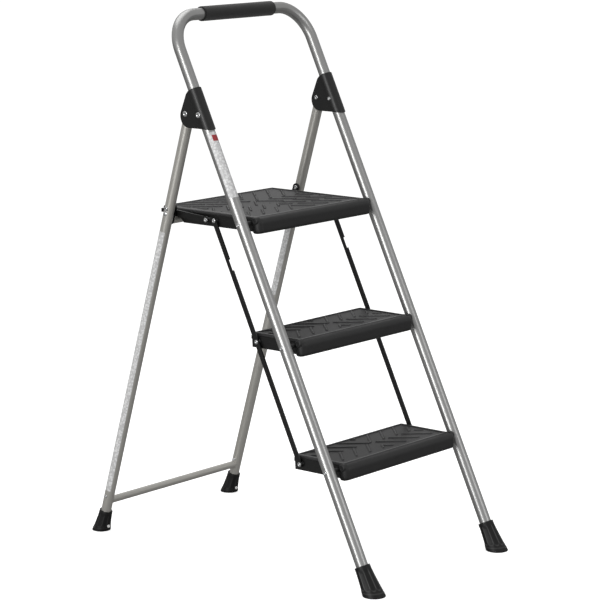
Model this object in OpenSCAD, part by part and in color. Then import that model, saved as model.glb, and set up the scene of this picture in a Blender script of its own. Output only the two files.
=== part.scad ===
// Folding step stool: a bent tube front frame with three hinged treads, a rear leg frame and side linkages.
// +Z is up, the climber faces +Y, and the origin is the centre of the footprint on the floor.

/* [Front frame] */
// Height of the centre of the hand rail above the floor
handle_height = 1142; // [1100:1:1180]
// Distance between the centres of the two front rails
rail_span = 428; // [424:0.5:440]
// Distance from the footprint centre forward to the rail axis at floor level
rail_reach = 377.5; // [370:0.5:385]
// Lean of the front rails back from upright, in degrees
rail_lean = 25.57; // [25:0.01:26.2]
// Outside diameter of the front tube
rail_d = 25.4; // [24:0.1:26]
// Wall thickness of the front tube
rail_wall = 1.2; // [1:0.1:2]
// Centreline radius of the two bends at the top of the front tube
bend_r = 76; // [60:1:90]
// Length of the foam grip
grip_length = 229; // [180:1:260]
// Outside diameter of the foam grip
grip_d = 32; // [30:0.5:36]

/* [Rear frame] */
// Distance between the centres of the two rear legs
leg_span = 428; // [427:0.5:431]
// Distance from the footprint centre back to the leg axis at floor level
leg_reach = 383.9; // [380:0.1:388]
// Lean of the rear legs forward from upright, in degrees
leg_lean = 16.09; // [15.8:0.01:16.3]
// Outside diameter of the rear legs
leg_d = 22.2; // [20:0.1:22.2]
// Wall thickness of the rear legs
leg_wall = 1; // [0.8:0.1:1.6]
// Height of the hinge between the rear legs and the brackets
hinge_height = 944; // [940:1:948]
// Diameter of the upper crossbar under the platform
crossbar_d = 16; // [14:0.5:16]
// Diameter of the lower brace between the rear legs
brace_d = 16; // [14:0.5:18]
// Height of the lower brace
brace_height = 70; // [66:1:76]

/* [Treads] */
// Height of the lowest standing surface
first_top = 251; // [246:1:256]
// Rise from one standing surface to the next
rise = 243; // [240:1:246]
// Width of the steel pans across the stool
pan_width = 372; // [368:1:374]
// Depth of the lower treads behind their pivots
tread_back = 118; // [112:1:122]
// Depth of the platform behind its pivots
platform_back = 254; // [250:1:256]
// How far the rounded nose stands in front of the pivots
nose_reach = 26; // [24:0.5:30]
// Height of the nose below the standing surface
nose_drop = 34.5; // [31:0.5:35]
// Sheet thickness of the steel pans
pan_sheet = 1.5; // [1.2:0.1:2]

/* [Linkage] */
// Distance from a tread's pivot back to its link rod rivet
rod_offset = 97; // [94:0.5:99]
// Drop from a tread's pivot to its link rod rivet
rod_drop = 4; // [2:0.5:6]
// Width of the flat link rods
rod_width = 11; // [9:0.5:11]
// Width of the two spreader links
spreader_width = 14; // [12:0.5:14]
// Sheet thickness of the rods and links
link_sheet = 3; // [2.5:0.1:3]

/* [Feet] */
// Height of the front feet
front_foot_h = 57; // [50:1:62]
// Height of the rear feet
rear_foot_h = 47; // [42:1:50]

/* [Hidden] */
$fn = 48;

rail_x = rail_span / 2;
rail_r = rail_d / 2;
leg_x = leg_span / 2;
leg_r = leg_d / 2;
pan_x = pan_width / 2;

// Distance along a rail from floor level to the centre of the hand rail
handle_s = handle_height / cos(rail_lean);
// Slack in radius round a pin that turns, and round a rivet that is set tight
running = 0.05;
snug = 0.02;
pivot_r = 3.5;
rivet_r = 3;
rivet_head_r = 4.8;
rivet_head_h = 1.8;
wide_head_r = 6;
small_head_r = 4.2;
small_rivet_r = 2.5;
shoulder_r = 5;

// Points in the side plane are [y, z]
function rail_point(s, w = 0) =
    [-rail_reach + s * sin(rail_lean) + w * cos(rail_lean), s * cos(rail_lean) - w * sin(rail_lean)];
function rail_y(z) = -rail_reach + z * tan(rail_lean);
function leg_y(z) = leg_reach - z * tan(leg_lean);

// The treads are numbered from the floor up, and each turns about a rivet through the rails
pivot_drop = 13;
function tread_top(i) = first_top + rise * i;
function tread_pivot(i) = [rail_y(tread_top(i) - pivot_drop), tread_top(i) - pivot_drop];
function rod_pivot(i) = tread_pivot(i) + [rod_offset, -rod_drop];
hinge = [leg_y(hinge_height), hinge_height];
bracket_fixing = [rail_y(hinge_height), hinge_height];

// The spreader links run from the platform's sides back to the rear legs
spreader_front = tread_pivot(2) + [115.1, -3.2];
spreader_rear = [leg_y(728), 728];
gusset_fixing = [leg_y(739), 739];
crossbar_z = 711.5;
crossbar = [leg_y(crossbar_z) + 1.2, crossbar_z];

// Layers outward from the pans: rods, then spreader links, then the rails
rod_x = rail_x - 25;
rod_face = rod_x + link_sheet;
spreader_x = rod_face + 2.6;
spreader_face = spreader_x + link_sheet;

// Covers and pans: half widths, the deck's thickness and the pan's depth below the surface
deck = 5;
pan_depth = 30;
pan_front = -9.8;
cover_edge = 182;
nose_edge = 186;
lip_edge = 190;
lip_depth = 9;
nose_back = -10;
rim_width = 5;
rim_step = 1.2;
nose_top_r = 10;
nose_bottom_r = 6;
nose_corner_r = 13;

gusset_sheet = 2.5;
gusset_x = leg_x - leg_r - 0.1 - gusset_sheet;
brace_fixing = [leg_y(82), 82];
screw_z = 11;
screw_r = 1.8;
screw_head_r = 3.6;

bracket_top_s = 1103;
bracket_half = 14;
bracket_slot_half = leg_r + 0.3;
sleeve_r = rail_r + 2.6;
bracket_round = [101.5, 939.7];
bracket_round_r = 24.4;

// Feet: centre and radius of the flat base, radius of the collar, and where the tubes end inside
front_foot_y = -381.5;
front_foot_r = 24;
front_collar_r = rail_r + 3.7;
rear_foot_y = 386;
rear_foot_r = 20.5;
rear_collar_r = leg_r + 3.4;
tube_end_s = 12;
leg_end_s = 7;
screw_face_y = rear_foot_y - rear_foot_r - 1.2;

sticker = 0.25;

// Placing helpers: parts are drawn for the right side, +X, and mirrored for the left
module on_side(left) {
    mirror([left ? 1 : 0, 0, 0]) children();
}
module both_sides() {
    for (left = [false, true]) on_side(left) children();
}
module along_rail() {
    translate([0, -rail_reach, 0]) rotate([-rail_lean, 0, 0]) children();
}
module along_leg() {
    translate([0, leg_reach, 0]) rotate([leg_lean, 0, 0]) children();
}
// A round bar along X from x0 to x1 through the side-plane point p
module x_bar(p, x0, x1, r) {
    translate([x0, p[0], p[1]]) rotate([0, 90, 0]) cylinder(h = x1 - x0, r = r);
}
// A low domed head along +X whose flat side lies at x
module dome_x(p, x, r = rivet_head_r, h = rivet_head_h) {
    ball = (r * r + h * h) / (2 * h);
    translate([x, p[0], p[1]]) rotate([0, 90, 0]) rotate_extrude() intersection() {
        translate([0, h - ball]) circle(r = ball);
        square([r, h]);
    }
}
// A rivet along X: shank, a domed head outside at x1 and a domed head inside at x0
module x_rivet(p, x0, x1, r = rivet_r, outer = rivet_head_r, inner = rivet_head_r) {
    x_bar(p, x0, x1, r);
    dome_x(p, x1, outer);
    translate([2 * x0, 0, 0]) mirror([1, 0, 0]) dome_x(p, x0, inner);
}
// A flat strip between side-plane points a and b, with slightly wider round eyes at its ends
module strap(a, b, x, width, sheet = link_sheet) {
    d = b - a;
    eye_r = width / 2 + 0.6;
    x_bar(a, x, x + sheet, eye_r);
    x_bar(b, x, x + sheet, eye_r);
    translate([x, a[0], a[1]]) rotate([atan2(d[1], d[0]), 0, 0])
        translate([0, 0, -width / 2]) cube([sheet, norm(d), width]);
}

// Front frame
module handle_tube(r) {
    straight = rail_x - bend_r;
    along_rail() {
        both_sides() {
            translate([rail_x, 0, tube_end_s]) cylinder(h = handle_s - bend_r - tube_end_s, r = r);
            translate([straight, 0, handle_s - bend_r]) rotate([90, 0, 0])
                rotate_extrude(angle = 90) translate([bend_r, 0]) circle(r = r);
        }
        translate([-straight, 0, handle_s]) rotate([0, 90, 0]) cylinder(h = 2 * straight, r = r);
    }
}
module front_frame_tube() {
    color("silver") difference() {
        handle_tube(rail_r);
        handle_tube(rail_r - rail_wall);
        along_rail() both_sides() translate([rail_x, 0, tube_end_s - 1]) cylinder(h = 3, r = rail_r - rail_wall);
        both_sides() {
            for (i = [0:2]) x_bar(tread_pivot(i), rail_x - 20, rail_x + 20, pivot_r + snug);
            x_bar(bracket_fixing, rail_x - 20, rail_x + 20, rivet_r + snug);
        }
    }
}
module hand_grip() {
    edge = 3;
    bore_r = rail_r + snug;
    color("dimgray") along_rail() translate([0, 0, handle_s]) rotate([0, 90, 0]) rotate_extrude() {
        translate([bore_r, -grip_length / 2]) square([grip_d / 2 - edge - bore_r, grip_length]);
        translate([bore_r, -grip_length / 2 + edge]) square([grip_d / 2 - bore_r, grip_length - 2 * edge]);
        for (end = [-1, 1]) translate([grip_d / 2 - edge, end * (grip_length / 2 - edge)]) circle(r = edge);
    }
}
// Side outline of the bracket in [y, z]: a plate from the sleeve back to a round lobe
module bracket_outline() {
    lobe_top = bracket_round + bracket_round_r * [0.936, 0.352];
    polygon([
        rail_point(bracket_top_s, 0), rail_point(bracket_top_s, 6), rail_point(bracket_top_s - 3, 14),
        lobe_top, bracket_round, [bracket_round[0], bracket_round[1] - bracket_round_r],
        [rail_y(915.3), 915.3]
    ]);
    translate(bracket_round) circle(r = bracket_round_r);
}
module hinge_bracket(left) {
    floor_z = bracket_round[1] - bracket_round_r;
    web_s = 1087;
    color("#2b2b2b") on_side(left) difference() {
        union() {
            translate([rail_x - bracket_half, 0, 0]) rotate([90, 0, 90])
                linear_extrude(2 * bracket_half) bracket_outline();
            intersection() {
                along_rail() translate([rail_x, 0, 980]) cylinder(h = bracket_top_s - 980, r = sleeve_r);
                translate([rail_x - 30, -100, floor_z]) cube([60, 300, 120]);
            }
        }
        along_rail() {
            translate([rail_x, 0, 900]) cylinder(h = 300, r = rail_r + snug);
            translate([rail_x - bracket_slot_half, rail_r + 2.6, 900])
                cube([2 * bracket_slot_half, 60, web_s - 900]);
        }
        x_bar(hinge, rail_x - 20, rail_x + 20, pivot_r + snug);
        x_bar(bracket_fixing, rail_x - 20, rail_x + 20, rivet_r + snug);
    }
}
module hinge_bracket_left() { hinge_bracket(true); }
module hinge_bracket_right() { hinge_bracket(false); }
module bracket_fixing_rivets() {
    grip_half = sleeve_r + 0.1;
    color("gainsboro") both_sides()
        x_rivet(bracket_fixing, rail_x - grip_half, rail_x + grip_half, rivet_r, wide_head_r, small_head_r);
}
module hinge_pivot_rivets() {
    grip_half = bracket_half + 0.1;
    color("gainsboro") both_sides()
        x_rivet(hinge, rail_x - grip_half, rail_x + grip_half, pivot_r, wide_head_r, rivet_head_r);
}
module tread_pivot_rivets() {
    color("gainsboro") both_sides() for (i = [0:2])
        x_rivet(tread_pivot(i), pan_x - pan_sheet - 0.4, rail_x + rail_r + 0.1, pivot_r);
}
module tread_pivot_spacers() {
    color("#333333") difference() {
        both_sides() for (i = [0:2]) x_bar(tread_pivot(i), pan_x + 0.4, rail_x - 9, shoulder_r);
        both_sides() for (i = [0:2]) x_bar(tread_pivot(i), pan_x - 1, rail_x, pivot_r + snug);
        along_rail() both_sides() translate([rail_x, 0, 100]) cylinder(h = 800, r = rail_r + snug);
    }
}
// A flared foot, from a round base on the floor up to a round collar square to the rail or the leg
module flared_foot(x, y, base_r, collar_r, collar_s, rail) {
    hull() {
        translate([x, y, 0]) cylinder(h = 5, r = base_r, $fn = 48);
        if (rail) along_rail() translate([x, 0, collar_s - 4]) cylinder(h = 4, r = collar_r, $fn = 32);
        else along_leg() translate([x, 0, collar_s - 4]) cylinder(h = 4, r = collar_r, $fn = 32);
    }
}
module front_foot(left) {
    color("#242424") on_side(left) difference() {
        flared_foot(rail_x, front_foot_y, front_foot_r, front_collar_r, front_foot_h / cos(rail_lean), true);
        along_rail() translate([rail_x, 0, tube_end_s - 0.1]) cylinder(h = 100, r = rail_r + snug);
    }
}
module front_foot_left() { front_foot(true); }
module front_foot_right() { front_foot(false); }
// A thin band on a tube of radius r, from s0 to s1 along it and from angle a0 to a1 round it
module sticker_band(r, s0, s1, a0, a1) {
    translate([0, 0, s0]) rotate([0, 0, a0])
        rotate_extrude(angle = a1 - a0) translate([r + snug, 0]) square([sticker, s1 - s0]);
}
module rail_sticker() {
    color("white") along_rail() translate([-rail_x, 0, 0]) sticker_band(rail_r, 860, 1004, 190, 310);
}

// Treads, drawn with the pivot at the origin and the standing surface at pivot_drop
module nose_outline() {
    top = pivot_drop;
    low = pivot_drop - nose_drop;
    translate([-nose_reach + nose_top_r, top - nose_top_r]) circle(r = nose_top_r);
    translate([-nose_reach + nose_top_r, low]) square([nose_back + nose_reach - nose_top_r, nose_drop]);
    translate([-nose_reach, low + nose_bottom_r]) square([nose_top_r + 1, nose_drop - nose_top_r - nose_bottom_r]);
    translate([-nose_reach + nose_bottom_r, low + nose_bottom_r]) circle(r = nose_bottom_r);
    translate([-nose_reach + nose_bottom_r, low]) square([nose_top_r, nose_bottom_r + 1]);
}
module nose_plan(edge) {
    inner = edge - nose_corner_r;
    depth = nose_reach + nose_back;
    intersection() {
        translate([-edge, -nose_reach]) square([2 * edge, depth]);
        union() {
            translate([-inner, -nose_reach]) square([2 * inner, depth]);
            translate([-edge, nose_corner_r - nose_reach]) square([2 * edge, depth]);
            for (s = [-1, 1]) translate([s * inner, nose_corner_r - nose_reach]) circle(r = nose_corner_r);
        }
    }
}
// The nose inside a plan of the given half width, from z0 up to the standing surface
module nose_block(edge, z0) {
    intersection() {
        translate([-edge, 0, 0]) rotate([90, 0, 90]) linear_extrude(2 * edge) nose_outline();
        translate([0, 0, z0]) linear_extrude(pivot_drop + 1 - z0) nose_plan(edge);
    }
}
// Places of the four posts that hold a cover to its pan
module cover_posts(back, r, z, h) {
    for (x = [-150, 150], y = [15, back - 30]) translate([x, y, z]) cylinder(h = h, r = r);
}
module tread_cover(back) {
    wall = 3;
    color("#262626") difference() {
        union() {
            nose_block(nose_edge, pivot_drop - nose_drop - 1);
            // the lip that stands out at both ends of the nose
            nose_block(lip_edge, pivot_drop - lip_depth);
            translate([-cover_edge, nose_back - 1, pivot_drop - deck])
                cube([2 * cover_edge, back - nose_back + 1, deck]);
            cover_posts(back, 3, pivot_drop - deck - 4, 5);
        }
        // hollow of the nose, open below
        translate([-nose_edge + nose_corner_r, wall - nose_reach + 2, -40])
            cube([2 * (nose_edge - nose_corner_r), nose_reach + nose_back - wall - 4, 40 + pivot_drop - 3 * wall]);
        // standing surface sunk inside the rim
        translate([rim_width - cover_edge, -rim_width, pivot_drop - rim_step])
            cube([2 * (cover_edge - rim_width), back, rim_step + 1]);
    }
}
// Side outline of a pan in [y, z]: flat below, cut up at the rear end to a shallow lip
module pan_outline(back, cut_from, cut_to) {
    top = pivot_drop - deck;
    lip = top - 8;
    low = pivot_drop - pan_depth;
    polygon([[pan_front, low], [cut_from, low], [cut_to, lip], [back - 2, lip], [back - 2, top], [pan_front, top]]);
}
module tread_pan(back, cut_from, cut_to, pivots) {
    inside = pan_x - pan_sheet;
    top = pivot_drop - deck;
    color("#1f1f1f") difference() {
        translate([-pan_x, 0, 0]) rotate([90, 0, 90]) linear_extrude(2 * pan_x) pan_outline(back, cut_from, cut_to);
        translate([-inside, pan_front + pan_sheet, -60])
            cube([2 * inside, back - 2 - pan_front - 2 * pan_sheet, 60 + top - pan_sheet]);
        both_sides() {
            x_bar([0, 0], inside - 1, pan_x + 1, pivot_r + running);
            for (p = pivots) x_bar(p, inside - 1, pan_x + 1, rivet_r + snug);
        }
        cover_posts(back, 3.1, top - pan_sheet - 1, pan_sheet + 2);
    }
}
module at_tread(i) {
    translate([0, tread_pivot(i)[0], tread_pivot(i)[1]]) children();
}
module lower_pan(i) {
    at_tread(i) tread_pan(tread_back, tread_back - 5, tread_back - 4, [[rod_offset, -rod_drop]]);
}
module rod_rivets(i) {
    color("gainsboro") both_sides() {
        x_rivet(rod_pivot(i), pan_x - pan_sheet - 0.1, rod_face + 0.3);
        x_bar(rod_pivot(i), pan_x + 0.1, rod_x - 0.4, shoulder_r);
    }
}
module platform_cover() { at_tread(2) tread_cover(platform_back); }
module middle_tread_cover() { at_tread(1) tread_cover(tread_back); }
module lower_tread_cover() { at_tread(0) tread_cover(tread_back); }
module middle_tread_pan() { lower_pan(1); }
module lower_tread_pan() { lower_pan(0); }
module platform_pan() {
    rest = crossbar - tread_pivot(2) + [0, crossbar_d / 2 + 0.4];
    holes = [rod_pivot(2) - tread_pivot(2), spreader_front - tread_pivot(2)];
    at_tread(2) {
        tread_pan(platform_back, rest[0] - 24, rest[0] - 6, holes);
        // the rib that lands on the rear crossbar
        color("#1f1f1f") translate([1 - pan_x, rest[0] - 1.5, rest[1]])
            cube([pan_width - 2, 3, pivot_drop - deck - rest[1] - 0.5]);
    }
}
module platform_rod_rivets() { rod_rivets(2); }
module middle_tread_rod_rivets() { rod_rivets(1); }
module lower_tread_rod_rivets() { rod_rivets(0); }
module spreader_front_rivets() {
    color("gainsboro") both_sides() {
        x_rivet(spreader_front, pan_x - pan_sheet - 0.1, spreader_face + 0.3);
        x_bar(spreader_front, pan_x + 0.1, spreader_x - 0.3, shoulder_r);
    }
}

// Linkage
module link_rod(left) {
    // the notch clears the platform's pivot rivet when the stool is folded
    notch_s = 100;
    notch_l = 24;
    notch_depth = 4;
    color("#1c1c1c") on_side(left) difference() {
        strap(rod_pivot(0), rod_pivot(2), rod_x, rod_width);
        for (i = [0:2]) x_bar(rod_pivot(i), rod_x - 1, rod_face + 1, rivet_r + running);
        translate([rod_x - 1, rod_pivot(2)[0], rod_pivot(2)[1]]) rotate([-rail_lean, 0, 0])
            translate([0, -rod_width / 2 - 2, -notch_s - notch_l / 2])
                cube([link_sheet + 2, notch_depth + 2, notch_l]);
    }
}
module link_rod_left() { link_rod(true); }
module link_rod_right() { link_rod(false); }
module spreader_link(left) {
    color("#1c1c1c") on_side(left) {
        difference() {
            strap(spreader_front, spreader_rear, spreader_x, spreader_width);
            x_bar(spreader_front, spreader_x - 1, spreader_face + 1, rivet_r + running);
        }
        translate([2 * spreader_x + 0.1, 0, 0]) mirror([1, 0, 0])
            dome_x(spreader_rear, spreader_x, rivet_head_r - 0.3, 1.2);
    }
}
module spreader_link_left() { spreader_link(true); }
module spreader_link_right() { spreader_link(false); }

// Rear frame
// The hole for the screw that holds a rear foot to its leg
module foot_screw_hole() {
    translate([leg_x, rear_foot_y - 40, screw_z]) rotate([-90, 0, 0]) cylinder(h = 32, r = screw_r + snug);
}
module rear_leg(left) {
    top_s = norm(hinge - [leg_reach, 0]) + 8;
    color("#b9b8b2") on_side(left) difference() {
        along_leg() translate([leg_x, 0, leg_end_s]) difference() {
            cylinder(h = top_s - leg_end_s, r = leg_r);
            translate([0, 0, -1]) cylinder(h = top_s - leg_end_s + 2, r = leg_r - leg_wall);
        }
        x_bar(hinge, leg_x - 20, leg_x + 20, pivot_r + running);
        for (p = [spreader_rear, gusset_fixing]) x_bar(p, leg_x - 20, leg_x + 20, rivet_r + snug);
        x_bar(brace_fixing, leg_x - 20, leg_x + 20, small_rivet_r + snug);
        foot_screw_hole();
    }
}
module rear_leg_left() { rear_leg(true); }
module rear_leg_right() { rear_leg(false); }
module rear_crossbar() {
    half = gusset_x - 0.1;
    color("#b9b8b2") difference() {
        x_bar(crossbar, -half, half, crossbar_d / 2);
        x_bar(crossbar, -half - 1, half + 1, crossbar_d / 2 - leg_wall);
    }
}
module rear_lower_brace() {
    at = [leg_y(brace_height), brace_height];
    color("#b9b8b2") difference() {
        x_bar(at, -leg_x, leg_x, brace_d / 2);
        x_bar(at, -leg_x - 1, leg_x + 1, brace_d / 2 - leg_wall);
        along_leg() both_sides() translate([leg_x, 0, 0]) cylinder(h = 200, r = leg_r + snug);
    }
}
module crossbar_gusset(left) {
    color("#1c1c1c") on_side(left) difference() {
        strap(crossbar, gusset_fixing, gusset_x, 17, gusset_sheet);
        for (p = [spreader_rear, gusset_fixing]) x_bar(p, gusset_x - 1, gusset_x + 5, rivet_r + snug);
    }
}
module crossbar_gusset_left() { crossbar_gusset(true); }
module crossbar_gusset_right() { crossbar_gusset(false); }
module crossbar_rivets() {
    color("gainsboro") both_sides() x_rivet(gusset_fixing, gusset_x - 0.1, leg_x + leg_r + 0.1, rivet_r);
}
module spreader_rear_rivets() {
    pin_end = spreader_face + 0.4;
    color("gainsboro") both_sides() {
        x_bar(spreader_rear, pin_end, leg_x + leg_r + 0.1, rivet_r);
        x_bar(spreader_rear, pin_end, gusset_x - 0.1, shoulder_r);
        dome_x(spreader_rear, leg_x + leg_r + 0.1);
    }
}
module brace_rivets() {
    wall = leg_r + 0.1;
    color("gainsboro") both_sides()
        x_rivet(brace_fixing, leg_x - wall, leg_x + wall, small_rivet_r, 3.7, 3.7);
}
module rear_foot(left) {
    color("#242424") on_side(left) difference() {
        flared_foot(leg_x, rear_foot_y, rear_foot_r, rear_collar_r, rear_foot_h / cos(leg_lean), false);
        along_leg() translate([leg_x, 0, leg_end_s - 0.1]) cylinder(h = 100, r = leg_r + snug);
        foot_screw_hole();
        // flat seat for the screw's head
        translate([leg_x, screw_face_y - 20, screw_z]) rotate([-90, 0, 0]) cylinder(h = 20.05, r = screw_head_r + 0.3);
    }
}
module rear_foot_left() { rear_foot(true); }
module rear_foot_right() { rear_foot(false); }
module rear_foot_screws() {
    color("gainsboro") both_sides() translate([leg_x, screw_face_y, screw_z]) {
        rotate([-90, 0, 0]) cylinder(h = rear_foot_y - 10 - screw_face_y, r = screw_r);
        rotate([0, 0, -90]) dome_x([0, 0], 0, screw_head_r, 1.5);
    }
}
// A sticker on the side of a leg that faces -X
module leg_sticker(x, s0, s1) {
    color("white") along_leg() translate([x, 0, 0]) sticker_band(leg_r, s0, s1, 136, 224);
}
module leg_sticker_left() { leg_sticker(-leg_x, 100, 717); }
module leg_sticker_right() { leg_sticker(leg_x, 508, 690); }

front_frame_tube();
hand_grip();
hinge_bracket_left();
hinge_bracket_right();
bracket_fixing_rivets();
hinge_pivot_rivets();
tread_pivot_rivets();
tread_pivot_spacers();
front_foot_left();
front_foot_right();
rail_sticker();
platform_cover();
platform_pan();
platform_rod_rivets();
spreader_front_rivets();
middle_tread_cover();
middle_tread_pan();
middle_tread_rod_rivets();
lower_tread_cover();
lower_tread_pan();
lower_tread_rod_rivets();
link_rod_left();
link_rod_right();
spreader_link_left();
spreader_link_right();
rear_leg_left();
rear_leg_right();
rear_crossbar();
rear_lower_brace();
crossbar_gusset_left();
crossbar_gusset_right();
crossbar_rivets();
spreader_rear_rivets();
brace_rivets();
rear_foot_left();
rear_foot_right();
rear_foot_screws();
leg_sticker_left();
leg_sticker_right();
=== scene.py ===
import math

import bmesh
import bpy
import numpy as np
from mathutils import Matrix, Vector


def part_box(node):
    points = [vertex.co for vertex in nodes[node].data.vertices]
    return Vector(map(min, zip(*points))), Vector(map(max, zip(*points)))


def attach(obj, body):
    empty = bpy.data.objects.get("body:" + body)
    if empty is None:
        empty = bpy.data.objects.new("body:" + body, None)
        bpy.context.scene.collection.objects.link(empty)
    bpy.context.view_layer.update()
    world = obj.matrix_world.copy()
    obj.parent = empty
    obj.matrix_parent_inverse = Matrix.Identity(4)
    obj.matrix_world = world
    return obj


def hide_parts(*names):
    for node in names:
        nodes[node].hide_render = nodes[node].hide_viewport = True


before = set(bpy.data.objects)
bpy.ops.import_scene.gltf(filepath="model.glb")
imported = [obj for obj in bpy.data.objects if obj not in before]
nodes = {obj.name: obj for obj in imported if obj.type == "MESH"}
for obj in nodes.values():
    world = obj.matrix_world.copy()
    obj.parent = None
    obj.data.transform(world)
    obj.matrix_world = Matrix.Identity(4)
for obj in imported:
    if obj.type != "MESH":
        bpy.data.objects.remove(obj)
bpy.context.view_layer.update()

# --- Camera ---------------------------------------------------------------------------------------
# A long lens a little above the platform, in front of the stool and to its left.
camera_place = Vector((-3.997, -3.3363, 1.5056))
camera_aim = Vector((0, -0.0084, 0.5333))
camera_data = bpy.data.cameras.new("camera")
camera_data.lens = 148.22
camera_data.sensor_width = 36
camera = bpy.data.objects.new("camera", camera_data)
camera.location = camera_place
camera.rotation_euler = (camera_aim - camera_place).to_track_quat("-Z", "Y").to_euler()
bpy.context.scene.collection.objects.link(camera)
bpy.context.scene.camera = camera
bpy.context.scene.view_settings.view_transform = "Standard"


# --- Floor and light ------------------------------------------------------------------------------
# A matt white painted studio floor. A tall softbox stands beside the stool, so that each round tube
# carries one long bright line, and a wide one hangs above for the standing surfaces.
def linear(code):
    """An sRGB hex colour as linear RGBA: each channel over 12.92 where it is small, and otherwise
    ((c + 0.055) / 1.055) to the power of 2.4."""
    srgb = np.array([int(code[i:i + 2], 16) for i in (0, 2, 4)]) / 255
    rgb = np.where(srgb <= 0.04045, srgb / 12.92, ((srgb + 0.055) / 1.055) ** 2.4)
    return (*rgb.tolist(), 1.0)


def add_node(tree, kind, inputs, **settings):
    """Adds one shader node, with its own settings and a value or another node's output in each socket."""
    made = tree.nodes.new("ShaderNode" + kind)
    for key, value in settings.items():
        setattr(made, key, value)
    for key, value in inputs.items():
        if isinstance(value, bpy.types.NodeSocket):
            tree.links.new(value, made.inputs[key])
        else:
            made.inputs[key].default_value = value
    return made


def mottled_surface(name, dark, light, patch, grain, grain_depth, rough, rough_spread, **constants):
    """A material whose colour drifts between dark and light over patches, with a fine raised grain.
    patch, grain and grain_depth are in millimetres. Grain that is really finer than about a millimetre
    is drawn at that size, so that it shows. constants are the shader's own steady values."""
    material = bpy.data.materials.new(name)
    material.use_nodes = True
    tree = material.node_tree
    tree.nodes.clear()
    place = add_node(tree, "TexCoord", {}).outputs["Object"]
    patches = add_node(tree, "TexNoise", {"Vector": place, "Scale": 1000 / patch, "Detail": 3.0})
    grains = add_node(tree, "TexNoise", {"Vector": place, "Scale": 1000 / grain, "Detail": 2.0})
    tint = add_node(tree, "Mix", {0: patches.outputs["Fac"], 6: linear(dark), 7: linear(light)},
                    data_type="RGBA")
    gloss = add_node(tree, "MapRange", {"Value": grains.outputs["Fac"], "To Min": rough - rough_spread,
                                        "To Max": rough + rough_spread})
    bump = add_node(tree, "Bump", {"Height": grains.outputs["Fac"], "Strength": 1.0,
                                   "Distance": grain_depth / 1000})
    shader = add_node(tree, "BsdfPrincipled", {
        "Base Color": tint.outputs[2], "Roughness": gloss.outputs["Result"],
        "Normal": bump.outputs["Normal"], **constants})
    add_node(tree, "OutputMaterial", {"Surface": shader.outputs["BSDF"]})
    return material


def shader_of(material):
    """The material's Principled shader."""
    return next(n for n in material.node_tree.nodes if n.type == "BSDF_PRINCIPLED")


def dress(name, material):
    """Gives a CAD node one material in all its slots."""
    slots = nodes[name].material_slots
    for each in slots:
        each.material = material
    if not slots:
        nodes[name].data.materials.append(material)


def floor_material():
    """Matt emulsion: an even white with hardly any shine. Where it is seen directly it is lifted, so that
    it stays pale far from the lights, and it is a mid grey for the light that it throws on the stool."""
    material = mottled_surface("matt_white_floor_paint", "8c8c8b", "909090", 400, 3, 0.02, 0.9, 0.05)
    tree = material.node_tree
    shader = shader_of(material)
    seen = add_node(tree, "LightPath", {}).outputs["Is Camera Ray"]
    tint = shader.inputs["Base Color"].links[0].from_socket
    paint = add_node(tree, "Mix", {0: seen, 6: tint, 7: linear("fbfbfa")}, data_type="RGBA")
    lift = add_node(tree, "Math", {0: seen, 1: 0.58}, operation="MULTIPLY")
    tree.links.new(paint.outputs[2], shader.inputs["Base Color"])
    tree.links.new(lift.outputs["Value"], shader.inputs["Emission Strength"])
    shader.inputs["Emission Color"].default_value = linear("ffffff")
    return material


floor_half = 40.0
floor_mesh = bpy.data.meshes.new("studio_floor")
floor_mesh.from_pydata([(x, y, 0) for y in (-floor_half, floor_half) for x in (-floor_half, floor_half)],
                       [], [(0, 1, 3, 2)])
floor_mesh.materials.append(floor_material())
floor = bpy.data.objects.new("studio_floor", floor_mesh)
bpy.context.scene.collection.objects.link(floor)

# The studio's walls: white to look at, and half as bright for the light that they throw
world = bpy.data.worlds.new("studio")
bpy.context.scene.world = world
world.use_nodes = True
backdrop = world.node_tree.nodes["Background"]
backdrop.inputs["Color"].default_value = linear("ffffff")
seen = add_node(world.node_tree, "LightPath", {}).outputs["Is Camera Ray"]
strength = add_node(world.node_tree, "MapRange", {"Value": seen, "To Min": 0.52, "To Max": 1.0})
world.node_tree.links.new(strength.outputs["Result"], backdrop.inputs["Strength"])


def softbox(name, place, aim, width, height, power):
    """A rectangular area light at place that faces aim, in metres and watts."""
    light = bpy.data.lights.new(name, "AREA")
    light.shape = "RECTANGLE"
    light.size = width
    light.size_y = height
    light.energy = power
    box = bpy.data.objects.new(name, light)
    box.location = place
    box.rotation_euler = (Vector(aim) - Vector(place)).to_track_quat("-Z", "Y").to_euler()
    box.visible_camera = False
    bpy.context.scene.collection.objects.link(box)


softbox("side_softbox", (-3.8, -0.6, 1.3), (0, 0, 0.6), 0.8, 3.2, 80)
softbox("top_softbox", (0.5, 1.2, 3.4), (0, 0, 0.5), 2.5, 2.5, 33)
softbox("front_softbox", (0.8, -4.2, 1.8), (0, 0, 0.6), 1.6, 2.2, 20)
softbox("back_softbox", (3.2, 2.7, 1.35), (0, 0, 0.6), 2.4, 1.3, 4)

# --- Front frame tube -----------------------------------------------------------------------------
# One 1 inch steel tube bent to both rails and the hand rail, powder coated in metallic silver.
# The coat is baked on, so it has a soft even sheen over a faint orange peel.
silver_coat = mottled_surface("powder_coated_steel_silver", "a0a09f", "ababaa", 60, 1.5, 0.012, 0.36, 0.03,
                              **{"Metallic": 0.8, "Coat Weight": 0.25, "Coat Roughness": 0.15})
dress("front_frame_tube", silver_coat)


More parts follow.
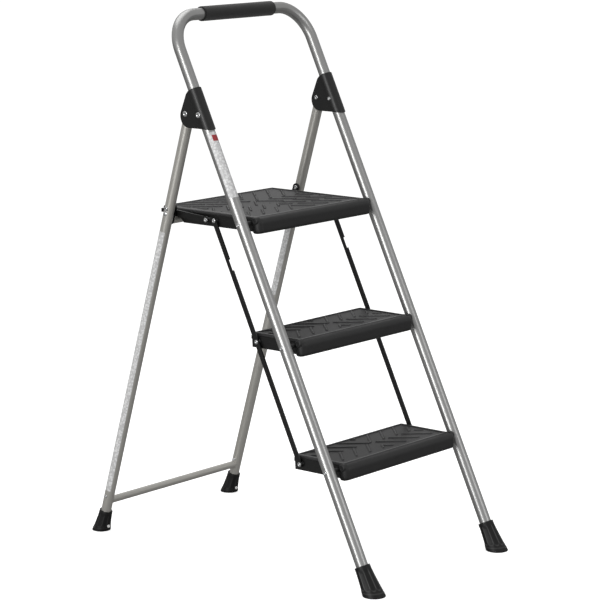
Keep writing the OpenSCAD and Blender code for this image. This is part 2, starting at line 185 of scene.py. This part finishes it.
# --- Foam hand grip -------------------------------------------------------------------------------
# A sleeve of black closed-cell foam rubber pushed over the hand rail, cut square and with its ends
# rounded off. Its skin is pitted with fine cells, so it is dull with a soft sheen at the edges.
def surface(points, wrap_u, wrap_v):
    """Vertices and four-sided faces of a grid of points (m, n, 3). Each face joins four neighbours, and
    the grid closes on itself in the directions asked."""
    m, n = points.shape[:2]
    i = np.arange(m if wrap_u else m - 1)[:, None]
    j = np.arange(n if wrap_v else n - 1)[None, :]
    a, b = (i + 1) % m, (j + 1) % n
    faces = np.stack([i * n + j, a * n + j, a * n + b, i * n + b], axis=-1).reshape(-1, 4)
    return points.reshape(-1, 3), faces


def new_piece(name, shells, material, body, slot, *replaced, proud=None):
    """One piece from shells, each of vertices in mm, four-sided faces and any end caps: doubles merged,
    faces turned outward, smooth but for edges over 38 degrees, riding on its body. proud, kept as an
    attribute, is 1 at a vertex that stands out, which the material paints lighter as wear and a painted
    highlight, and 0 at the others."""
    starts = np.cumsum([0] + [len(points) for points, *_ in shells])
    faces = []
    for (_, quads, *caps), start in zip(shells, starts):
        faces += (quads + start).tolist() + [(cap + start).tolist() for cap in caps]
    mesh = bpy.data.meshes.new(name)
    mesh.from_pydata(np.concatenate([points for points, *_ in shells]) / 1000, [], faces)
    if proud is not None:
        mesh.attributes.new("proud", "FLOAT", "POINT").data.foreach_set("value", proud.astype(np.float32))
    work = bmesh.new()
    work.from_mesh(mesh)
    bmesh.ops.remove_doubles(work, verts=work.verts, dist=2e-6)
    bmesh.ops.dissolve_degenerate(work, edges=work.edges, dist=1e-7)
    bmesh.ops.recalc_face_normals(work, faces=work.faces)
    work.to_mesh(mesh)
    work.free()
    mesh.materials.append(material)
    mesh.shade_smooth()
    mesh.set_sharp_from_angle(angle=math.radians(38))
    piece = bpy.data.objects.new(name, mesh)
    bpy.context.scene.collection.objects.link(piece)
    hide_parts(*replaced)
    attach(piece, body)
    return piece


def box_mm(name):
    """Lowest and highest corner of a CAD node in millimetres."""
    low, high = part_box(name)
    return np.array(low) * 1000, np.array(high) * 1000


# The cells are about 0.4 mm, drawn at 1.6 mm so that they show as a soft matt tooth
foam = mottled_surface("closed_cell_foam_rubber", "141414", "1e1e1e", 14, 1.6, 0.22, 0.85, 0.08,
                       **{"Sheen Weight": 0.25, "Sheen Roughness": 0.5, "Specular IOR Level": 0.3})
grip_low, grip_high = box_mm("hand_grip")
grip_middle = (grip_low + grip_high) / 2
grip_half = grip_high[0]
grip_r = 16.0
grip_bore = 12.72
grip_round = 3.2


def foam_sleeve():
    """Outer radius: a straight cylinder that rolls off over a quarter round at each end and swells by a
    tenth of a millimetre in slow waves, closed along the bore. It is turned about the line along X
    through the grip's middle."""
    roll = np.linspace(0, np.pi / 2, 8)
    along = np.concatenate([
        -grip_half + grip_round * (1 - np.sin(roll[::-1])), np.linspace(-grip_half + 6, grip_half - 6, 90),
        grip_half - grip_round * (1 - np.sin(roll)), np.linspace(grip_half, -grip_half, 24)])
    radius = np.concatenate([
        grip_r - grip_round * (1 - np.cos(roll[::-1])), np.full(90, grip_r),
        grip_r - grip_round * (1 - np.cos(roll)), np.full(24, grip_bore)])
    around = np.linspace(0, 2 * np.pi, 72, endpoint=False)[:, None]
    wave = 0.12 * (np.sin(along / 17)[None, :] * np.cos(3 * around) - 1)
    radius = radius[None, :] + np.where(radius > grip_bore + 1, wave, 0)
    return np.stack([np.broadcast_to(along, radius.shape), grip_middle[1] + radius * np.cos(around),
                     grip_middle[2] + radius * np.sin(around)], axis=-1)


grip = new_piece("foam_grip", [surface(foam_sleeve(), True, True)], foam, "front_frame", "grip_foam",
                 "hand_grip")

# --- Hinge brackets -------------------------------------------------------------------------------
# Black glass-filled nylon mouldings that wrap the front of each rail and carry the rear legs between
# two cheeks. Moulded against a fine spark-eroded tool, so they are satin with soft edges.
bracket_nylon = mottled_surface("glass_filled_nylon_moulded", "101010", "161616", 30, 0.9, 0.03, 0.4, 0.05)
rail_lean = math.radians(25.57)
up_rail = np.array([0, math.sin(rail_lean), math.cos(rail_lean)])
behind_rail = np.array([0, math.cos(rail_lean), -math.sin(rail_lean)])
foot_low, foot_high = box_mm("front_foot_right")
rail_x = (foot_low[0] + foot_high[0]) / 2
clamp_r = 12.75  # bore that grips the rail
bracket_out = 15.3  # outside of the wrap
cheek_out = 14.0  # outside and inside of a cheek, from the rail's axis
cheek_in = 11.4
cheek_edge = 1.3
lobe_s, lobe_w, lobe_r = 7.9, 26.5, 24.4  # the hinge lobe's centre up the rail and behind it, and radius
level_edge = -28.7  # the level bottom edge, below the fixing rivet
level_end, slope_end = 37.0, 43.4  # behind the rail, where the bottom edge and the back edge meet the lobe
slope_w, slope_s = (6, 14, slope_end), (56.5, 53.0, 25.5)  # the back edge, from the top down to the lobe


def bracket_shell(side):
    """Section: round the rail's front at radius 15.3, then along two flat cheeks, with a wall inside it.
    Along the rail each strip of the section runs between the outline's lower and upper lines: a level
    bottom edge, a round lobe about the hinge, a sloping back edge and a square top. The outer skin rolls
    in over the last 1.3 mm."""
    low, high = box_mm("bracket_fixing_rivets")
    base = np.array([side * rail_x, (low[1] + high[1]) / 2, (low[2] + high[2]) / 2])
    tip = lobe_w + lobe_r - 0.02
    back_w = tip * np.sin(np.linspace(np.pi / 2, 0, 34))
    turn = np.linspace(0, np.pi, 33)[1:-1]
    ease = np.clip(back_w / 9, 0, 1)
    ease = ease * ease * (3 - 2 * ease)
    out_x = bracket_out + (cheek_out - bracket_out) * ease
    in_x = np.maximum(cheek_in, np.sqrt(np.clip(clamp_r ** 2 - back_w ** 2, 0, None)))
    outer_x = np.concatenate([out_x, bracket_out * np.cos(turn), -out_x[::-1]])
    outer_w = np.concatenate([back_w, -bracket_out * np.sin(turn), back_w[::-1]])
    inner_x = np.concatenate([in_x, clamp_r * np.cos(turn), -in_x[::-1]])
    inner_w = np.concatenate([back_w, -clamp_r * np.sin(turn), back_w[::-1]])

    def ends(w):
        """Lower and upper line of the outline at a distance w behind the rail's axis."""
        lobe = np.sqrt(np.clip(lobe_r ** 2 - (w - lobe_w) ** 2, 0, None))
        level = (level_edge + w * math.sin(rail_lean)) / math.cos(rail_lean)
        bottom = np.where(w < level_end, level, lobe_s - lobe)
        top = np.where(w < slope_end, np.interp(w, slope_w, slope_s), lobe_s + lobe)
        return bottom, top

    across = 0.5 - 0.5 * np.cos(np.linspace(0, np.pi, 27))
    skins = []
    for x, w, skin in ((outer_x, outer_w, 1), (inner_x, inner_w, 0)):
        bottom, top = ends(w)
        s = bottom[:, None] + (top - bottom)[:, None] * across[None, :]
        slope = np.clip(np.gradient(top) / np.maximum(np.abs(np.gradient(w)), 1e-3), -6, 6)
        near = np.minimum(s - bottom[:, None], (top[:, None] - s) / np.sqrt(1 + slope[:, None] ** 2))
        t = cheek_edge - np.clip(np.minimum(near, (tip - w)[:, None] * 1.2 + 0.15), 0, cheek_edge)
        inset = skin * (cheek_edge - np.sqrt(cheek_edge ** 2 - t ** 2))
        scale = 1 - inset / bracket_out
        skins.append(np.stack([x[:, None] * scale, np.where(w < 0, w, 0)[:, None] * scale
                               + np.where(w < 0, 0, w)[:, None], s], axis=-1))
    loop = np.concatenate([skins[0], skins[1][:, ::-1]], axis=1)
    points = (base + loop[..., :1] * np.array([side, 0, 0]) + loop[..., 1:2] * behind_rail
              + loop[..., 2:] * up_rail)
    vertices, faces = surface(points, False, True)
    n = loop.shape[1]
    k = np.arange(n // 2 - 1)
    edge = np.stack([k, k + 1, n - 2 - k, n - 1 - k], axis=-1)
    return vertices, np.concatenate([faces, edge, edge + (len(loop) - 1) * n])


for side, hand in ((-1, "left"), (1, "right")):
    new_piece(f"bracket_moulding_{hand}", [bracket_shell(side)], bracket_nylon, "front_frame",
              "bracket_plastic", f"hinge_bracket_{hand}")

# --- Rivets ---------------------------------------------------------------------------------------
# Zinc plated steel semi-tubular rivets: a domed head with a shallow dimple, a plain shank and, where
# two moving parts need room, a thicker shoulder. Plating leaves them bright with a slight haze.
bright_zinc = mottled_surface("zinc_plated_steel", "c4c5c6", "dcdddd", 6, 0.8, 0.01, 0.24, 0.06,
                              **{"Metallic": 1.0})
shoulder_r = 5.0
nose_reach = 26.0  # from a tread's pivot forward to its nose
pivot_depth = 13.0  # from a tread's top down to its pivot
tread_names = ("lower_tread", "middle_tread", "platform")
tread_pivots = {}
for each in tread_names:
    low, high = box_mm(f"{each}_cover")
    tread_pivots[each] = np.array([low[1] + nose_reach, high[2] - pivot_depth])


def head_profile(r, h):
    """Height and radius from a head's rim to its middle: a rounded rim, a domed ring, then a dimple."""
    height = np.array([0, 0.35, 0.7, 0.93, 1, 0.96, 0.7, 0.48, 0.4, 0.38]) * h
    radius = np.array([1, 1, 0.93, 0.8, 0.66, 0.52, 0.42, 0.33, 0.2, 0]) * r
    return height, radius


def turned(along, across, steps):
    """A profile turned about a line: the distance along the line and the two distances out from it."""
    around = np.linspace(0, 2 * np.pi, steps, endpoint=False)[:, None]
    return np.broadcast_to(along, (steps, len(along))), across * np.cos(around), across * np.sin(around)


def rivet_shells(points, x0, x1, shank, outer, inner, shoulder=None):
    """Each rivet is a profile turned about X: the inner head from its middle to its rim at x0, the shank
    with an optional shoulder, and the outer head from its rim at x1 to its middle. The same one stands
    mirrored on the stool's left. points are (y, z), and shank, outer and inner are radii."""
    height, radius = head_profile(1.0, 1.8)
    stem = [(x0, shank), (x1, shank)]
    if shoulder is not None:
        start, end = shoulder
        stem[1:1] = [(start, shank), (start, shoulder_r), (end, shoulder_r), (end, shank)]
    stem = np.array(stem)
    along = np.concatenate([x0 - height[::-1], stem[:, 0], x1 + height])
    across = np.concatenate([inner * radius[::-1], stem[:, 1], outer * radius])
    shells = []
    for y, z in points:
        for side in (-1, 1):
            x, out_y, out_z = turned(side * along, across, 28)
            shells.append(surface(np.stack([x, y + out_y, z + out_z], axis=-1), True, False))
    return shells


def middle_of(name):
    """Centre of a node in the side plane, as (y, z)."""
    low, high = box_mm(name)
    return (low[1:] + high[1:]) / 2


def rivets(name, body, *shape):
    """The rivets that stand for one CAD node."""
    new_piece(f"{name}_dimpled", rivet_shells(*shape), bright_zinc, body, "rivet_steel", name)


rivets("bracket_fixing_rivets", "front_frame", [middle_of("bracket_fixing_rivets")], 198.6, 229.4, 3, 6, 4.2)
rivets("hinge_pivot_rivets", "front_frame", [middle_of("hinge_pivot_rivets")], 199.9, 228.1, 3.5, 6, 4.8)
rivets("tread_pivot_rivets", "front_frame", tread_pivots.values(), 184.1, 226.8, 3.5, 4.8, 4.8)
for each in tread_names:
    rivets(f"{each}_rod_rivets", each, [middle_of(f"{each}_rod_rivets")], 184.4, 192.3, 3, 4.8, 4.8,
           (186.1, 188.6))
rivets("spreader_front_rivets", "platform", [middle_of("spreader_front_rivets")], 184.4, 197.9, 3, 4.8, 4.8,
       (186.1, 194.3))
rivets("crossbar_rivets", "rear_frame", [middle_of("crossbar_rivets")], 200.2, 225.2, 3, 4.8, 4.8)
rivets("brace_rivets", "rear_frame", [middle_of("brace_rivets")], 202.8, 225.2, 2.5, 3.7, 3.7)
dress("spreader_rear_rivets", bright_zinc)

# --- Pivot spacers --------------------------------------------------------------------------------
# Turned black nylon bushes on the pivots, between the treads and the rails. Fine tool marks leave
# them satin, and a little greyer than the mouldings beside them.
turned_nylon = mottled_surface("turned_nylon_black", "262626", "303030", 8, 0.6, 0.01, 0.4, 0.05)
dress("tread_pivot_spacers", turned_nylon)


# --- Feet -----------------------------------------------------------------------------------------
# Moulded black rubber boots pushed over the tube ends, the rear ones held by a screw. They flare to a
# round base with a plain band at the floor, and the flanks have upright flutes.
def paint_wear_and_highlight(material, tint_code, rough):
    """Paints a material lighter wherever the vertex attribute "proud" is high, as wear and a painted
    highlight, and makes it smoother there.
    """
    tree = material.node_tree
    shader = shader_of(material)
    tint = shader.inputs["Base Color"].links[0].from_socket
    gloss = shader.inputs["Roughness"].links[0].from_socket
    proud = add_node(tree, "Attribute", {}, attribute_name="proud").outputs["Fac"]
    worn_and_lit = add_node(tree, "Mix", {0: proud, 6: tint, 7: linear(tint_code)}, data_type="RGBA")
    polish = add_node(tree, "Mix", {0: proud, 2: gloss, 3: rough}, data_type="FLOAT")
    tree.links.new(worn_and_lit.outputs[2], shader.inputs["Base Color"])
    tree.links.new(polish.outputs[0], shader.inputs["Roughness"])
    return material


# Rubber straight from the mould is dull and nearly black; its ridges, flute ends and band edge are painted as
# grey lines, a painted highlight
rubber = paint_wear_and_highlight(mottled_surface("moulded_black_rubber", "0c0c0c", "141414", 12, 1.2, 0.06, 0.5, 0.08,
                             **{"Specular IOR Level": 0.3}), "505050", 0.45)
leg_lean = math.radians(-16.09)
flutes = 10
boot_steps = 240


def boot(name, side, foot_y, lean, collar_r, bore_r, bore_from, flute_depth):
    """Rings round the tube's axis: a circle on the floor, then straight lines up to a collar square to the
    tube, over the rim and down the bore. Above the band the radius loses the absolute sine of half the
    flutes' count times the angle, so that ridges stand between hollows, and each hollow ends in a U.
    Ridges, U's and the band's edge are proud. foot_y is where the tube's axis meets the floor."""
    low, high = box_mm(name)
    base_r = (high[0] - low[0]) / 2
    base_y = low[1] + base_r if lean > 0 else high[1] - base_r
    height = high[2] - collar_r * abs(math.sin(lean))
    around = np.linspace(0, 2 * np.pi, boot_steps, endpoint=False)
    cos, sin = np.cos(around), np.sin(around)
    axis = np.array([0, math.sin(lean), math.cos(lean)])
    across = np.array([0, math.cos(lean), -math.sin(lean)])
    foot = np.array([side * rail_x, foot_y, 0])
    middle = np.array([side * rail_x, base_y, 0])
    base = middle + base_r * np.stack([cos, sin, np.zeros_like(cos)], axis=-1)
    rise_s = height / math.cos(lean)

    def ring(r, s):
        """A circle of radius r square to the tube at s along it."""
        return foot + s * axis + r * (cos[:, None] * np.array([1, 0, 0]) + sin[:, None] * across)

    def level(scale, z):
        """The base circle scaled about its middle and lifted to z."""
        return middle + (base - middle) * scale + np.array([0, 0, z])

    rows = [level(0.6, 0.6), level(0.9, 0.6), level(0.95, 0), level(0.985, 0.2), level(1.0, 1.2)]
    collar_low = ring(collar_r, rise_s - 4)
    wave = np.abs(np.sin(flutes * around / 2))
    hollow = wave ** 0.7
    ridge = np.clip(1 - wave / 0.4, 0, 1)
    plain = np.zeros(boot_steps)
    proud = [plain] * len(rows)
    for t in np.linspace(0.02, 0.98, 48):
        row = (1 - t) * level(1.0, 1.2) + t * collar_low
        centre = row.mean(axis=0)
        ledge = 0.35 * np.clip((t - 0.13) / 0.03, 0, 1) * np.clip((0.9 - t) / 0.3, 0, 1)
        reach = np.clip((t - 0.28 + 0.08 * hollow) / 0.06, 0, 1) * np.clip((0.96 - t) / 0.12, 0, 1)
        arm = row - centre
        cut = ledge + flute_depth * reach * hollow
        rows.append(centre + arm * (1 - cut / np.linalg.norm(arm, axis=1))[:, None])
        band_edge = plain + np.clip(1 - abs(t - 0.14) / 0.03, 0, 1)
        u_edge = 4 * reach * (1 - reach) * hollow * (t < 0.5)
        # proud marks the lines that get the rubber's painted highlight
        proud.append(np.maximum.reduce([0.45 * band_edge, 0.5 * u_edge, ridge * reach]))
    collar = [collar_low, ring(collar_r, rise_s - 0.8), ring(collar_r - 0.25, rise_s - 0.2),
              ring(collar_r - 0.8, rise_s), ring(bore_r, rise_s), ring(bore_r, bore_from)]
    points = np.stack(rows + collar, axis=1)
    proud = np.stack(proud + [plain] * len(collar), axis=1).ravel()
    n = points.shape[1]
    total = boot_steps * n
    return (*surface(points, True, False), np.arange(0, total, n), np.arange(n - 1, total, n)), proud


for side, hand in ((-1, "left"), (1, "right")):
    foot = f"front_foot_{hand}"
    shell, proud = boot(foot, side, -377.5, rail_lean, 16.4, 12.72, 11.9, 1.5)
    new_piece(f"front_boot_{hand}", [shell], rubber, "front_frame", "foot_rubber", foot, proud=proud)
    foot = f"rear_foot_{hand}"
    shell, proud = boot(foot, side, 383.9, leg_lean, 14.5, 11.12, 6.9, 0.5)
    new_piece(f"rear_boot_{hand}", [shell], rubber, "rear_frame", "foot_rubber", foot, proud=0.3 * proud)

# Nickel plate over steel, painted near white and only partly metallic so that each head is the palest bright
# spot on the stool: a painted highlight over the plate's own pale colour, softened by fine handling marks
nickel_with_painted_glint = mottled_surface("nickel_plated_steel_painted_glint", "eeeeec", "fafaf8", 6, 0.8, 0.01, 0.4, 0.06,
                                **{"Metallic": 0.4})
screw_low, screw_high = box_mm("rear_foot_screws")
screw_seat = screw_low[1] + 1.5  # the CAD head is 1.5 mm high
screw_r = 1.9
screw_head_r = 3.8
screw_head_h = 2.3


def screw_shell(side):
    """A pan head with a round recess, from its middle to its rim, then a shank with a blunt end, turned
    about a line along Y."""
    height, radius = head_profile(screw_head_r, screw_head_h)
    along = np.concatenate([screw_seat - height[::-1], [screw_seat, screw_high[1], screw_high[1]]])
    y, out_x, out_z = turned(along, np.concatenate([radius[::-1], [screw_r, screw_r, 0]]), 28)
    middle_z = (screw_low[2] + screw_high[2]) / 2
    return surface(np.stack([side * rail_x + out_x, y, middle_z + out_z], axis=-1), True, False)


new_piece("rear_foot_pan_screws", [screw_shell(side) for side in (-1, 1)], nickel_with_painted_glint, "rear_frame",
          "rivet_steel", "rear_foot_screws")


# --- Labels ---------------------------------------------------------------------------------------
# Thin white vinyl strips stuck along the left rail and both rear legs, left without any lettering.
# Faint grey cells here and there, and one plain red field near the top of the rail's strip.
def label_material(name, red_from, red_to, red_side):
    """Printed vinyl: satin off-white with faint square grey cells about 5 mm apart, and red between two
    heights where x is beyond red_side, all in metres."""
    material = mottled_surface(name, "e2e2e2", "f0f0f0", 9, 2, 0.01, 0.35, 0.05)
    tree = material.node_tree
    shader = shader_of(material)
    tint = shader.inputs["Base Color"].links[0].from_socket
    place = next(n for n in tree.nodes if n.type == "TEX_COORD").outputs["Object"]
    cells = add_node(tree, "TexVoronoi", {"Vector": place, "Scale": 1000 / 5, "Randomness": 0.9},
                     distance="CHEBYCHEV")
    dark = add_node(tree, "MapRange", {"Value": cells.outputs["Distance"], "From Min": 0.3,
                                       "From Max": 0.5, "To Max": 0.4})
    printed = add_node(tree, "Mix", {0: dark.outputs["Result"], 6: tint, 7: linear("8c8c8c")},
                       data_type="RGBA")
    xyz = add_node(tree, "SeparateXYZ", {"Vector": place})
    above = add_node(tree, "Math", {0: xyz.outputs["Z"], 1: red_from}, operation="GREATER_THAN")
    below = add_node(tree, "Math", {0: xyz.outputs["Z"], 1: red_to}, operation="LESS_THAN")
    beyond = add_node(tree, "Math", {0: xyz.outputs["X"], 1: red_side}, operation="GREATER_THAN")
    both = add_node(tree, "Math", {0: above.outputs["Value"], 1: below.outputs["Value"]},
                    operation="MULTIPLY")
    red = add_node(tree, "Math", {0: both.outputs["Value"], 1: beyond.outputs["Value"]},
                   operation="MULTIPLY")
    field = add_node(tree, "Mix", {0: red.outputs["Value"], 6: printed.outputs[2], 7: linear("a03034")},
                     data_type="RGBA")
    tree.links.new(field.outputs[2], shader.inputs["Base Color"])
    return material


dress("rail_sticker", label_material("printed_vinyl_with_red_field", 0.893, 0.905, -0.222))
leg_vinyl = label_material("printed_vinyl", 2, 2, 2)
for each in ("leg_sticker_left", "leg_sticker_right"):
    dress(each, leg_vinyl)

# --- Tread covers ---------------------------------------------------------------------------------
# Black polypropylene mouldings clipped over the pans: a sunk standing panel with raised diagonal grip
# ribs inside a rim, a rolled nose in front and a round stub at each end of the nose. The tool's etched
# grain keeps them matt. The tops of the rim and the ribs are painted a little lighter, as shoe wear and
# as a painted highlight along the rim.
polypropylene = paint_wear_and_highlight(mottled_surface("etched_polypropylene", "151515", "1d1d1e", 25, 1.1, 0.05, 0.52, 0.06),
                    "242425", 0.36)
cover_half = 182.0
cover_round = 5.0  # quarter round along the ends of the top
corner_r = 9.0  # rear corners in plan
nose_draw = 14.0  # length of the quarter ellipse that draws the nose back at each end
nose_over = 5.6  # how much wider the nose is than the deck at each end
nose_bottom = 34.5
panel_depth = 2.2
rib_rise = 1.9
rib_pitch = 45.0
stub_ahead, stub_below = 12.8, 7.4  # the stubs' axis, ahead of the pivot and below the top


def smooth_step(x, low, high):
    """0 below low, 1 above high, and a smooth cubic between."""
    t = np.clip((x - low) / (high - low), 0, 1)
    return t * t * (3 - 2 * t)


def round_off(distance, start, r):
    """How far a quarter round of radius r that starts at start has fallen away at a distance."""
    past = np.clip(distance - start, 0, r)
    return r - np.sqrt(r ** 2 - past ** 2)


def rib_height(x, y, rows):
    """1 on the ribs and 0 off them. rows are (front, back, way, offset): in each the ribs run at 45
    degrees, 45 mm apart across the tread, where |x| plus or minus y is a constant, so that the two
    halves mirror each other."""
    height = np.zeros_like(x)
    for start, end, way, offset in rows:
        off = (np.abs(x) + way * y - offset + rib_pitch / 2) % rib_pitch - rib_pitch / 2
        line = 1 - smooth_step(np.abs(off) / math.sqrt(2), 1.3, 2.2)
        inside = smooth_step(y, start, start + 1.3) * (1 - smooth_step(y, end - 1.3, end)) * (
            1 - smooth_step(np.abs(x), 163, 164.3))
        height = np.maximum(height, line * inside)
    return height


def cover_shell(name, rows):
    """The side profile, a closed loop over the deck, round the nose and back beneath, is carried across
    the tread. Towards each end the top rolls down over a quarter round, the rear corners draw in on a
    9 mm round and the nose draws back on a quarter ellipse. The panel lies 2.2 mm below the rim, and
    ribs rise 1.9 mm from it. The rim and the ribs are proud."""
    pivot_y, pivot_z = tread_pivots[name]
    back = box_mm(f"{name}_cover")[1][1] - pivot_y
    end_x = 165 + 17 * np.sin(np.radians(np.arange(5, 91, 5)))
    x = np.concatenate([-end_x[::-1], np.arange(-132, 133) * 1.25, end_x])
    arc = np.linspace(0, np.pi / 2, 9)
    half_arc = arc[::2]
    top_y = np.arange(back - 3, -8.5, -1.25)
    outside = [(top_y, np.zeros_like(top_y)),
               (np.array([-9.4, -10.6, -12.0, -13.5]), np.array([-0.15, -0.6, -1.05, -1.3])),
               (-15.0 - 11 * np.sin(arc), -12.5 + 11 * np.cos(arc)),
               (np.full(4, -26.0), np.linspace(-14.5, -24.5, 4)),
               (-18.0 - 8 * np.cos(arc), -26.5 - 8 * np.sin(arc)),
               (np.array([-15.5, -12.5]), np.array([-nose_bottom, -nose_bottom]))]
    hollow = [(np.array([-12.5, -15.5]), np.array([-32.0, -32.0])),
              (-18.0 - 5.2 * np.sin(half_arc), -26.8 - 5.2 * np.cos(half_arc)),
              (np.full(4, -23.2), np.linspace(-24, -15, 4)),
              (-16.0 - 7 * np.cos(half_arc), -13.0 + 7 * np.sin(half_arc))]
    beneath = [(np.linspace(-9.95, back - 4, 24), np.full(24, -4.9)),
               (back - 2.5 + 2.5 * np.cos(arc[::-1]), -2.5 - 2.4 * np.sin(arc[::-1])),
               (back - 2.5 + 2.5 * np.cos(half_arc[1:-1]), -2.5 + 2.5 * np.sin(half_arc[1:-1]))]
    y = np.concatenate([part[0] for part in outside + hollow + beneath])
    z = np.concatenate([part[1] for part in outside + hollow + beneath])
    on_top = np.arange(len(y)) < len(top_y)
    grid_x, grid_y = np.meshgrid(x, y, indexing="ij")
    grid_z = np.broadcast_to(z, grid_x.shape).copy()
    end_distance = np.abs(grid_x)

    # The nose is solid at its ends: the hollow's points climb its back, which past the pan starts on a
    # 7 mm rise and stands 3.75 mm further back
    first = sum(len(part[0]) for part in outside)
    inner = np.arange(first, first + sum(len(part[0]) for part in hollow))
    climb = np.linspace(0, 3, len(inner))
    solid = smooth_step(np.abs(x), 176, 178)[:, None]
    flap = smooth_step(np.abs(x), 180.4, 181)[:, None]
    bulge = np.sin(np.clip(climb, 0, 1) * np.pi / 2) - np.clip(climb - 2.9, 0, 0.1) * 10
    solid_y = -9.95 + flap * 3.75 * bulge
    solid_z = np.where(climb < 1, -nose_bottom + 7 * (1 - np.cos(climb * np.pi / 2)),
                       -27.5 + (climb - 1) * 11.15)
    grid_y[:, inner] += solid * (solid_y - grid_y[:, inner])
    grid_z[:, inner] += solid * (solid_z - grid_z[:, inner])
    grid_y[:, first - 1] += solid[:, 0] * 2.5

    grid_z += round_off(end_distance, cover_half - 4, 4) * np.clip((-grid_z - 24) / 10.5, 0, 1) * 0.7
    roll = round_off(end_distance, cover_half - cover_round, cover_round)
    draw = round_off(end_distance, 168, nose_draw) / nose_draw
    corner = round_off(end_distance, cover_half - corner_r, corner_r)
    rim = 1 - smooth_step(grid_y, -4.5, -3) * (1 - smooth_step(grid_y, back - 6, back - 4.7)) * (
        1 - smooth_step(end_distance, 172, 173.5))
    ribs = rib_height(grid_x, grid_y, rows)
    sunk = (1 - rim) * (panel_depth - rib_rise * ribs) * on_top
    shaped_z = grid_z - roll * np.clip(1 + grid_z / 5, 0, 1) * 0.95 - sunk
    shaped_y = grid_y - corner * np.clip((grid_y - back + 20) / 20, 0, 1)
    shaped_y = np.where(grid_y < -10, -10 + (grid_y + 10) * (1 - draw * 0.86), shaped_y)
    on_nose = np.maximum(1 - smooth_step(grid_y, -13, -9), smooth_step(-grid_z, 5.2, 8))
    wider = 1 + nose_over / cover_half * on_nose
    points = np.stack([grid_x * wider, shaped_y + pivot_y, shaped_z + pivot_z + pivot_depth], axis=-1)
    n = len(y)
    # proud: the rim and the rib tops, painted lighter as wear and a painted highlight
    proud = np.maximum(rim, ribs) * on_top
    return (*surface(points, False, True), np.arange(n), np.arange(n) + (len(x) - 1) * n), proud.ravel()


def nose_stub(name, side):
    """The round end of the rolled nose: a short drum about X with a rounded rim, closed at both ends."""
    pivot_y, pivot_z = tread_pivots[name]
    along = np.array([178, 178, 187.4, 189.0, 190.0, 190.4, 190.4, 189.9, 189.8])
    radius = np.array([0, 7.6, 7.6, 7.2, 6.4, 5.2, 4.0, 3.4, 0])
    x, out_y, out_z = turned(side * along, radius, 36)
    middle_z = pivot_z + pivot_depth - stub_below
    return surface(np.stack([x, pivot_y - stub_ahead + out_y, middle_z + out_z], axis=-1), True, False)


step_rows = [(13, 60, 1, 30), (61, 112, -1, 30)]
platform_rows = [(13, 60, 1, 7), (62, 104, 1, 40), (106, 150, 1, 15), (152, 198, -1, -5), (200, 245, -1, -5)]
for each in tread_names:
    shell, proud = cover_shell(each, platform_rows if each == "platform" else step_rows)
    stubs = [nose_stub(each, side) for side in (-1, 1)]
    new_piece(f"{each}_moulding", [shell, *stubs], polypropylene, each, "tread_plastic", f"{each}_cover",
              proud=np.pad(proud, (0, sum(len(points) for points, _ in stubs))))

# --- Steel pans, rods and links -------------------------------------------------------------------
# Folded and stamped sheet steel under the covers and at their sides, dipped in black stoving enamel.
# The enamel flows out smooth and semi-gloss, darker than the plastic above it.
black_enamel = mottled_surface("stoved_black_enamel", "080808", "0d0d0d", 40, 2.5, 0.01, 0.33, 0.05,
                               **{"Coat Weight": 0.15, "Coat Roughness": 0.2})
for each in ("platform_pan", "middle_tread_pan", "lower_tread_pan", "link_rod_left", "link_rod_right",
             "spreader_link_left", "spreader_link_right", "crossbar_gusset_left", "crossbar_gusset_right"):
    dress(each, black_enamel)

# --- Rear frame -----------------------------------------------------------------------------------
# Two 7/8 inch steel legs with a crossbar under the platform and a lower brace, coated like the front
# frame in a slightly warmer and duller batch of silver.
warm_coat = mottled_surface("powder_coated_steel_warm_silver", "bab8b3", "c6c4be", 60, 1.5, 0.012, 0.38, 0.03,
                            **{"Metallic": 0.6, "Coat Weight": 0.15, "Coat Roughness": 0.25})
for each in ("rear_leg_left", "rear_leg_right", "rear_crossbar", "rear_lower_brace"):
    dress(each, warm_coat)
